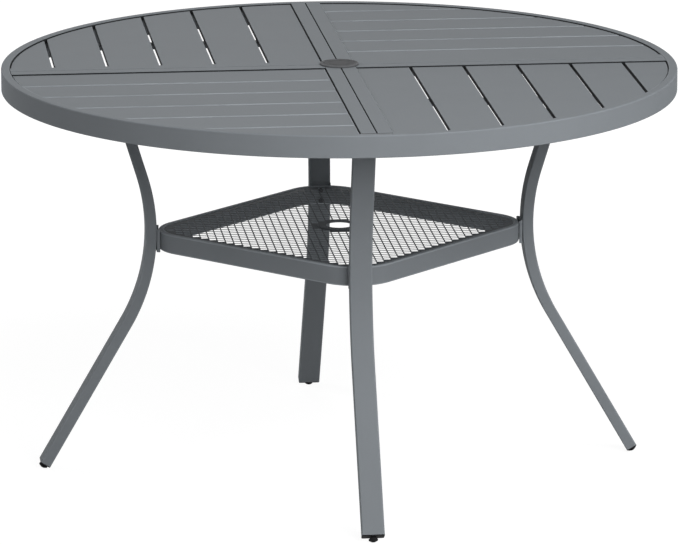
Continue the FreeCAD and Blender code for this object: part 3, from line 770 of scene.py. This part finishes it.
# %% Shelf hole ring
WASHER_INSIDE, WASHER_OUTSIDE, WASHER_SHEET, WASHER_CORNER = 24.0, 39.5, 1.5, 0.4
washer_middle = ((WASHER_INSIDE + WASHER_OUTSIDE) / 2, SHEET_TOP + WASHER_SHEET / 2)
washer = rectangle(WASHER_OUTSIDE - WASHER_INSIDE, WASHER_SHEET, WASHER_CORNER, washer_middle,
                   steps=4, guard=0.1)
make_piece("shelf_hole_ring_plate", around(washer, 128), "sheet_paint", "table", "shelf_hole_ring")

# %% [markdown]
# ## Legs
# Each leg is one tube: straight, bent through a big radius at the shelf and straight again. The centre
# line is worked out as a whole array, and the section is set square to it. The foot is cut square to
# the tube. The head is cut level under its plate: each point of the last row slides along the tube
# until it is at the plate's height. An inner surface, joined at both ends, makes it a real tube.

# %% Leg sizes
LEG_WIDTH, LEG_THICKNESS, LEG_WALL, LEG_CORNER = 40.0, 20.0, 1.5, 2.6
LEG_BEND, LEG_WAIST = 342.0, 442.1
LEAN, FLARE = math.radians(17.0), math.radians(30.1)
PLATE_THICKNESS, SPACER_LENGTH, BRACKET_SHEET = 4.0, 2.9, 2.0
PLATE_BOTTOM = TOP - ARM_DEPTH - PLATE_THICKNESS
LEG_FACE = BAND_APEX + SPACER_LENGTH + BRACKET_SHEET
print("leg face at %.1f mm, head at %.1f mm" % (LEG_FACE, PLATE_BOTTOM))

# %% [markdown]
# ## How high the foot stands
# The glide under a leg has eight sides in the solids, and its flats are nearer than its corners by the
# cosine of a sixteenth of a turn. Its cone falls as steeply as the leg leans and ends in a flat tip. The
# cone's lowest line lies on the floor, and the leg's end is above it by the glide and the cap's cover.

# %% Glide sizes and the height of the leg's end
CAP_COVER = 2.0
GLIDE_RADIUS, GLIDE_TIP, GLIDE_NECK, GLIDE_SIDE = 8.9, 4.0, 3.2, 3.0
GLIDE_FLAT = math.cos(math.pi / 8)
GLIDE_CONE = (GLIDE_RADIUS - GLIDE_TIP) * GLIDE_FLAT * math.tan(FLARE)
GLIDE_LENGTH = GLIDE_NECK + GLIDE_SIDE + GLIDE_CONE
LEG_END = (GLIDE_LENGTH + CAP_COVER) * math.cos(FLARE) + GLIDE_TIP * GLIDE_FLAT * math.sin(FLARE)
print("the leg's lower end is at %.1f mm" % LEG_END)


# %% Leg tube
def leg_path(bend_rows=40):
    """Centre line of the right leg from the foot up: place (radius, height) and its lean at each row."""
    waist_radius = LEG_FACE + LEG_THICKNESS / 2
    lean = np.linspace(-FLARE, LEAN, bend_rows)
    radius = waist_radius + LEG_BEND * (1 - np.cos(lean))
    height = LEG_WAIST + LEG_BEND * np.sin(lean)
    foot = radius[0] + (height[0] - LEG_END) * math.tan(FLARE)
    head = radius[-1] + (PLATE_BOTTOM - height[-1]) * math.tan(LEAN)
    radius = np.concatenate([[foot], radius, [head]])
    height = np.concatenate([[LEG_END], height, [PLATE_BOTTOM]])
    return radius, height, np.concatenate([[-FLARE], lean, [LEAN]])


def leg_surface(width, thickness, corner):
    """Each section point (across, outward) at each row: centre line plus outward times its normal."""
    section = rectangle(thickness, width, corner)
    outward_part, sideways = section[None, :, 0], section[None, :, 1]
    radius, height, lean = (values[:, None] for values in leg_path())
    x = radius + outward_part * np.cos(lean)
    z = height - outward_part * np.sin(lean)
    short = (PLATE_BOTTOM - z[-1]) / math.cos(LEAN)
    x[-1] += short * math.sin(LEAN)
    z[-1] += short * math.cos(LEAN)
    return np.stack([x, sideways + 0 * x, z], axis=-1)


def leg():
    """The outer surface upwards and the inner one back down, closed into one hollow tube."""
    outer = leg_surface(LEG_WIDTH, LEG_THICKNESS, LEG_CORNER)
    inner = leg_surface(LEG_WIDTH - 2 * LEG_WALL, LEG_THICKNESS - 2 * LEG_WALL, LEG_CORNER - LEG_WALL)
    return shell(np.concatenate([outer, inner[::-1]]), wrap_rows=True)


for corner, quarters in CORNERS.items():
    make_piece("leg_%s_tube" % corner, turned(leg(), quarters), "grey_paint", "table", "leg_" + corner)

# %% [markdown]
# ## Leg plates and their welds
# A plate is welded on the head of each leg and bolted up into the arms. The weld is a bead of small
# overlapping ripples round the tube: a small circle carried round the tube's outline, whose radius
# swells and shrinks along the way.

# %% Plate
PLATE_PLACE = float(leg_path()[0][-1])
PLATE_LENGTH, PLATE_WIDTH, PLATE_CORNER, PLATE_BEVEL = 84.0, 55.0, 6.0, 0.4


def flat_plate(outline, low, high, bevel):
    """An outline carried up a plate's side, drawn in a little at both faces."""
    middle = outline.mean(axis=0)
    size = np.ptp(outline, axis=0) / 2
    rows = [(bevel, low), (0.0, low + bevel), (0.0, high - bevel), (bevel, high)]
    grid = [at_height(middle + (outline - middle) * (1 - inset / size), height) for inset, height in rows]
    return shell(np.array(grid))


plate_outline = rectangle(PLATE_LENGTH, PLATE_WIDTH, PLATE_CORNER, (PLATE_PLACE, 0.0), steps=7)
plate = flat_plate(plate_outline, PLATE_BOTTOM, PLATE_BOTTOM + PLATE_THICKNESS, PLATE_BEVEL)
make_piece("leg_top_plate_set", at_four_corners(plate), "grey_paint", "table", "leg_top_plates")

# %% Weld
BEAD_RADIUS, BEAD_DROP, BEAD_SPACING, RIPPLES, RIPPLE_SHARE = 1.5, 0.6, 0.8, 46, 0.18


def dense_rectangle(width, height, radius, middle, spacing):
    """A rounded rectangle with points at equal distances, by interpolation along its length."""
    points = rectangle(width, height, radius, middle)
    closed = np.concatenate([points, points[:1]])
    way = np.concatenate([[0], np.cumsum(np.linalg.norm(np.diff(closed, axis=0), axis=1))])
    places = np.linspace(0, way[-1], int(way[-1] / spacing), endpoint=False)
    return np.column_stack([np.interp(places, way, closed[:, 0]), np.interp(places, way, closed[:, 1])])


def weld_bead(outline, height):
    """A circle of points carried round a closed outline. Its radius swells with a sine of the way."""
    ahead, behind = np.roll(outline, -1, axis=0), np.roll(outline, 1, axis=0)
    along = ahead - behind
    normal = np.stack([along[:, 1], -along[:, 0]], axis=1) / np.linalg.norm(along, axis=1, keepdims=True)
    way = np.cumsum(np.linalg.norm(outline - behind, axis=1))
    radius = BEAD_RADIUS * (1 + RIPPLE_SHARE * np.sin(2 * math.pi * RIPPLES * way / way[-1]))
    angle = full_turn(8)[None, :]
    out = radius[:, None] * np.cos(angle)
    x = outline[:, :1] + normal[:, :1] * out
    y = outline[:, 1:] + normal[:, 1:] * out
    return shell(np.stack([x, y, height + radius[:, None] * np.sin(angle)], axis=-1), wrap_rows=True)


bead_line = dense_rectangle(LEG_THICKNESS / math.cos(LEAN), LEG_WIDTH, LEG_CORNER, (PLATE_PLACE, 0.0),
                            BEAD_SPACING)
bead = weld_bead(bead_line, PLATE_BOTTOM - BEAD_DROP)
make_piece("leg_top_welds", at_four_corners(bead), "grey_paint", "table")
print("a weld bead has", len(bead_line), "steps")

# %% [markdown]
# ## Bolts
# The bolts are hexagon bolts: the head is a six-sided prism whose corners are cut by a shallow cone, so
# the radius of each column follows the hexagon and the height of its top edge falls with that radius.
# The thread is hidden in its hole, so plain ridges stand for it.

# %% Hexagon bolt
HEAD_CONE, HEAD_EDGE = math.radians(30), 0.1
THREAD_FIT, RIDGE_DEPTH, RIDGE_STEP = 0.02, 0.35, 0.5


def hexagon_radius(angle, width):
    """Distance from the middle to the side of a hexagon of this width across flats."""
    return width / 2 / np.cos((angle + math.pi / 6) % (math.pi / 3) - math.pi / 6)


def hex_bolt(radius, length, width, height):
    """Rows from the head's top down its side and washer face, along the shank's ridges to its point.
    Z runs from minus the head's height to the length of the shank."""
    angle = full_turn(24)
    flat = hexagon_radius(angle + math.pi / 6, width)
    slope = (flat - width / 2) * math.tan(HEAD_CONE)
    face, shank = 0.48 * width, radius - THREAD_FIT
    rows = [(0.46 * width, -height), (flat, slope - height + HEAD_EDGE), (flat, -0.5),
            (face, -0.4), (face, 0.0), (shank, 0.0)]
    ridges = np.arange(2.0, length - 1.5, RIDGE_STEP)
    rows += [(shank - RIDGE_DEPTH * (k % 2), place) for k, place in enumerate(ridges)]
    return about_axis(rows + [(radius - 0.7, length)], angle)


def moved(surface, x, y, z):
    """The same surface, shifted."""
    return surface[0] + np.array([x, y, z]), surface[1]


def laid_along_x(surface):
    """A surface made along Z, laid down so that Z becomes X and X becomes -Z."""
    points, faces = surface
    return np.stack([points[:, 2], points[:, 1], -points[:, 0]], axis=1), faces


print("hexagon of 10 mm: %.2f mm from the middle to a corner" % hexagon_radius(math.pi / 6, 10.0))

# %% Leg bolts and shelf bolts
LEG_BOLT_REACH, BOLT_GAP, BOLT_START = 30.0, 20.0, 0.3
leg_bolt = hex_bolt(radius=3.0, length=14.0, width=10.0, height=4.0)
shelf_bolt = laid_along_x(hex_bolt(radius=2.5, length=24.0, width=8.0, height=3.5))
bolt_places = [(PLATE_PLACE + a * LEG_BOLT_REACH, b * ARM_MIDDLE) for a in (-1, 1) for b in (-1, 1)]
leg_bolts = [at_four_corners(moved(leg_bolt, x, y, PLATE_BOTTOM)) for x, y in bolt_places]
make_piece("leg_bolt_set", joined(leg_bolts), "black_steel", "table", "leg_bolts")
bolt_heights = (BAND_MIDDLE - BOLT_GAP / 2, BAND_MIDDLE + BOLT_GAP / 2)
bolt_start = BAND_APEX - BAND_WIDTH - BOLT_START
shelf_bolts = [at_four_corners(moved(shelf_bolt, bolt_start, 0.0, height)) for height in bolt_heights]
make_piece("shelf_bolt_set", joined(shelf_bolts), "black_steel", "table", "shelf_bolts")

# %% [markdown]
# ## Spacers and corner brackets
# Between the shelf's corners and the legs stand short black tubes on the bolts, and a bracket of folded
# sheet. A spacer is a ring. The bracket is a channel, so its closed section is carried up Z.

# %% Spacers
SPACER_WALL, SPACER_MIDDLE = 0.8, 2.95
spacer_outline = rectangle(SPACER_WALL, SPACER_LENGTH, 0.2, (SPACER_MIDDLE, SPACER_LENGTH / 2), steps=3,
                           guard=0.05)
spacer = laid_along_x(around(spacer_outline, 32))
spacers = [at_four_corners(moved(spacer, BAND_APEX, 0.0, height)) for height in bolt_heights]
make_piece("shelf_spacer_set", joined(spacers), "black_plastic", "table", "shelf_spacers")

# %% Corner brackets
BRACKET_WIDTH, BRACKET_HEIGHT, BRACKET_FLANGE = 40.0, 42.0, 6.0
BRACKET_EDGE, BRACKET_FOLD, BRACKET_INNER_FOLD = 0.4, 3.0, 1.0


def bracket():
    """A channel of folded sheet: its closed section of (x, y), with round folds, carried up Z."""
    x0, x1, y, t = LEG_FACE - BRACKET_FLANGE, LEG_FACE, BRACKET_WIDTH / 2, BRACKET_SHEET
    outside = [(x0, -y), (x1, -y), (x1, y), (x0, y)]
    inside = [(x0, y - t), (x1 - t, y - t), (x1 - t, t - y), (x0, t - y)]
    edge, fold, inner = BRACKET_EDGE, BRACKET_FOLD, BRACKET_INNER_FOLD
    section = softened(outside + inside, [edge, fold, fold, edge, edge, inner, inner, edge], guard=0.2)
    heights = BAND_MIDDLE + BRACKET_HEIGHT / 2 * np.array([-1.0, 0.0, 1.0])
    return shell(np.array([at_height(section, height) for height in heights]))


for corner, quarters in CORNERS.items():
    make_piece("shelf_bracket_%s_channel" % corner, turned(bracket(), quarters), "grey_paint", "table",
               "shelf_bracket_" + corner)

# %% [markdown]
# ## End caps and glides
# A moulded cap closes the foot of each leg, and a levelling glide screws into it. Their shapes are made
# about the tube's own axis and then leaned over with the leg. The glide's thread is real: the radius
# falls and rises with the height plus a turn's share of the angle, so the ridge climbs as a helix.

# %% End caps
COVER_BEVEL, SPIGOT_INSET, SPIGOT_LENGTH, CAP_BORE = 0.6, 1.7, 14.0, 4.06


def at_leg_end(surface):
    """X and Z turned by the flare, then shifted to the leg's lower end."""
    (x, y, z), faces = surface[0].T, surface[1]
    c, s = math.cos(FLARE), math.sin(FLARE)
    foot = float(leg_path()[0][0])
    return np.stack([foot + c * x - s * z, y, LEG_END + s * x + c * z], axis=1), faces


def leg_section(inset, corner):
    """The leg's section drawn in by the inset."""
    return rectangle(LEG_THICKNESS - 2 * inset, LEG_WIDTH - 2 * inset, corner)


def circle_like(loop, radius):
    """Points of a circle in the directions of a loop's points, so that the two can be joined."""
    angle = np.arctan2(loop[:, 1], loop[:, 0])
    return radius * np.stack([np.cos(angle), np.sin(angle)], axis=1)


def end_cap():
    """Loops from the bore's foot out under the cap, up its side, in, up the spigot and down the bore."""
    cover, under = leg_section(0.0, LEG_CORNER), leg_section(COVER_BEVEL, 2.2)
    spigot = leg_section(SPIGOT_INSET, 1.0)
    bore = circle_like(cover, CAP_BORE)
    rows = [(bore, -CAP_COVER), (under, -CAP_COVER), (cover, COVER_BEVEL - CAP_COVER), (cover, 0.0),
            (spigot, 0.0), (spigot, SPIGOT_LENGTH), (bore, SPIGOT_LENGTH)]
    grid = [at_height(loop, height) for loop, height in rows]
    return at_leg_end(shell(np.array(grid), wrap_rows=True))


make_piece("leg_end_cap_set", at_four_corners(end_cap()), "black_plastic", "table", "leg_end_caps")

# %% Glides
STEM_RADIUS, STEM_TOP, THREAD_DEPTH, THREAD_PITCH, NECK_WIDTH = 3.98, 24.0, 0.5, 1.25, 11.0


def glide_foot(top):
    """(radius, height) down the foot's round side and cone, without the two corners on the axis."""
    side, tip = top - GLIDE_SIDE, top - GLIDE_SIDE - GLIDE_CONE
    reach, point = GLIDE_RADIUS * GLIDE_FLAT, GLIDE_TIP * GLIDE_FLAT
    corners = [(0.0, top), (reach, top), (reach, side), (point, tip), (0.0, tip)]
    outline = softened(corners, [0.0, 0.9, 0.8, 0.8, 0.0], guard=0.1)
    to_a_corner = len(outline) // len(corners)
    return list(outline[to_a_corner:-to_a_corner]) + [(0.4, tip)]


def glide():
    """Rows down the stem with its helical thread, the hexagon neck, the round foot and its cone."""
    angle = full_turn(36)
    turns, neck = angle / (2 * math.pi), hexagon_radius(angle + math.pi / 6, NECK_WIDTH)
    top = -CAP_COVER - GLIDE_NECK
    rows = [(3.2, STEM_TOP)]
    rows += [(STEM_RADIUS - THREAD_DEPTH * np.abs(2 * ((z / THREAD_PITCH + turns) % 1) - 1), z)
             for z in np.arange(STEM_TOP - 1.0, -1.9, -THREAD_PITCH / 4)]
    rows += [(neck, -CAP_COVER), (neck, top)]
    return at_leg_end(about_axis(rows + glide_foot(top), angle))


for corner, quarters in CORNERS.items():
    make_piece("glide_%s_screw" % corner, turned(glide(), quarters), "black_plastic", "glide_" + corner,
               "glide_" + corner)

# %% [markdown]
# ## Floor and surround
# The table stands on a plain pale floor in a white studio. In a photograph of this kind both show as
# pure white, though the light that they throw on the table is modest. So a Light Path node separates
# what the camera and reflections see from what lights the table. To the eye the floor is a white glow
# plus a thin real diffuse layer, which keeps the table's shadow, and further out the glow takes over.

# %% What the eye sees
FLOOR_HALF, GLOW_START, GLOW_END, GLOW_LEAST = 9.0, 0.9, 2.6, 0.93
FLOOR_GREY, SHADOW_GREY, SURROUND_LIGHT = 0.6, 0.17, 0.03


def seen_by_eye(tree):
    """1 for camera, glossy and transmission rays, 0 for the rays that carry light to other surfaces."""
    rays = add_node(tree, "ShaderNodeLightPath").outputs
    seen = maths(tree, "MAXIMUM", rays["Is Camera Ray"], rays["Is Glossy Ray"])
    return maths(tree, "MAXIMUM", seen, rays["Is Transmission Ray"])


def diffuse(tree, grey):
    """A diffuse shader of this grey."""
    return add_node(tree, "ShaderNodeBsdfDiffuse", None, {"Color": (grey, grey, grey, 1)}).outputs[0]


print("glow from %.2f at %.1f m to 1 at %.1f m" % (GLOW_LEAST, GLOW_START, GLOW_END))

# %% Floor
floor_corners = [(x * FLOOR_HALF, y * FLOOR_HALF, 0) for x, y in ((-1, -1), (1, -1), (1, 1), (-1, 1))]
floor_mesh = bpy.data.meshes.new("floor")
floor_mesh.from_pydata(floor_corners, [], [(0, 1, 2, 3)])
floor = bpy.data.objects.new("floor", floor_mesh)
bpy.context.scene.collection.objects.link(floor)
floor_material = bpy.data.materials.new("pale_floor")
floor_material.use_nodes = True
tree = floor_material.node_tree
tree.nodes.clear()
from_middle = add_node(tree, "ShaderNodeTexCoord").outputs["Object"]
distance = add_node(tree, "ShaderNodeVectorMath", {"operation": "LENGTH"}, {0: from_middle})
glow = ramp(tree, distance.outputs["Value"], GLOW_START, GLOW_END, GLOW_LEAST, 1.0, "SMOOTHSTEP")
white = add_node(tree, "ShaderNodeEmission", None, {"Color": (1, 1, 1, 1), "Strength": glow}).outputs[0]
shown = add_node(tree, "ShaderNodeAddShader", None, {0: white, 1: diffuse(tree, SHADOW_GREY)}).outputs[0]
mixed = add_node(tree, "ShaderNodeMixShader", None,
                 {0: seen_by_eye(tree), 1: diffuse(tree, FLOOR_GREY), 2: shown}).outputs[0]
add_node(tree, "ShaderNodeOutputMaterial", None, {"Surface": mixed})
floor_mesh.materials.append(floor_material)
print("floor of %.0f m across" % (2 * FLOOR_HALF))

# %% Surround
world = bpy.data.worlds.new("studio")
bpy.context.scene.world = world
world.use_nodes = True
tree = world.node_tree
tree.nodes.clear()
dim, full = (add_node(tree, "ShaderNodeBackground", None, {"Color": (1, 1, 1, 1), "Strength": strength})
             for strength in (SURROUND_LIGHT, 1.0))
mixed = add_node(tree, "ShaderNodeMixShader", None,
                 {0: seen_by_eye(tree), 1: dim.outputs[0], 2: full.outputs[0]}).outputs[0]
add_node(tree, "ShaderNodeOutputWorld", None, {"Surface": mixed})
print("surround: 1 to the eye, %.2f as light" % SURROUND_LIGHT)

# %% [markdown]
# ## Light
# Six soft square lamps stand on a sphere round the table. The two strongest are in front to the right:
# one lights the skirt and the front leg, and the higher one lights the top. A low one at the right
# reaches the legs under the top. The weaker ones at the left and behind keep the sides that face away
# from going black. Each lamp's place is given as a photographer would say it: the direction round the
# table, where 0 is the front and 90 the right, and the height as an angle.

# %% Lights
bpy.context.scene.view_settings.view_transform = "Standard"
TABLE_MIDDLE, LAMP_DISTANCE, LAMP_SIZE = Vector((0.0, 0.0, 0.5)), 4.5, 1.8
LAMPS = {"key_front": (15, 25, 96.0), "key_high": (43, 45, 75.0), "fill_left": (-50, 25, 19.0),
         "back_left": (-120, 25, 42.0), "back": (180, 25, 28.0), "low_right": (60, 5, 22.0)}


def aimed(thing, place, direction):
    """Put a lamp or camera at a place, looking along a direction. Both look down their own -Z."""
    holder = bpy.data.objects.new(thing.name, thing)
    holder.location = place
    holder.rotation_euler = direction.to_track_quat("-Z", "Y").to_euler()
    bpy.context.scene.collection.objects.link(holder)
    return holder


for name, (azimuth, elevation, power) in LAMPS.items():
    a, e = math.radians(azimuth), math.radians(elevation)
    way = Vector((math.sin(a) * math.cos(e), -math.cos(a) * math.cos(e), math.sin(e)))
    lamp = bpy.data.lights.new(name, "AREA")
    lamp.size = LAMP_SIZE
    lamp.energy = power
    aimed(lamp, TABLE_MIDDLE + way * LAMP_DISTANCE, -way).visible_camera = False
    print("%-12s %4d degrees round, %3d up, %5.1f W" % (name, azimuth, elevation, power))

# %% [markdown]
# ## Camera
# The camera stands where the photographer stood: nearly 10 m away, a little to the left of the table's
# front, looking down by 14 degrees through a long lens. Its place came from fitting the round rim, the
# feet and the square shelf to the photograph.

# %% Camera
CAMERA_PLACE, CAMERA_LOOK = (-1.0487, -9.5512, 2.6885), Vector((0.1061, 0.9659, -0.2362))
lens = bpy.data.cameras.new("photo_camera")
lens.sensor_width = 36.0
lens.lens = 287.56
bpy.context.scene.camera = aimed(lens, CAMERA_PLACE, CAMERA_LOOK)
print("camera %.2f m from the table's middle" % (Vector(CAMERA_PLACE) - TABLE_MIDDLE).length)

# %% [markdown]
# ## Finish
# The last step brings the view layer up to date.

# %% Finish
bpy.context.view_layer.update()
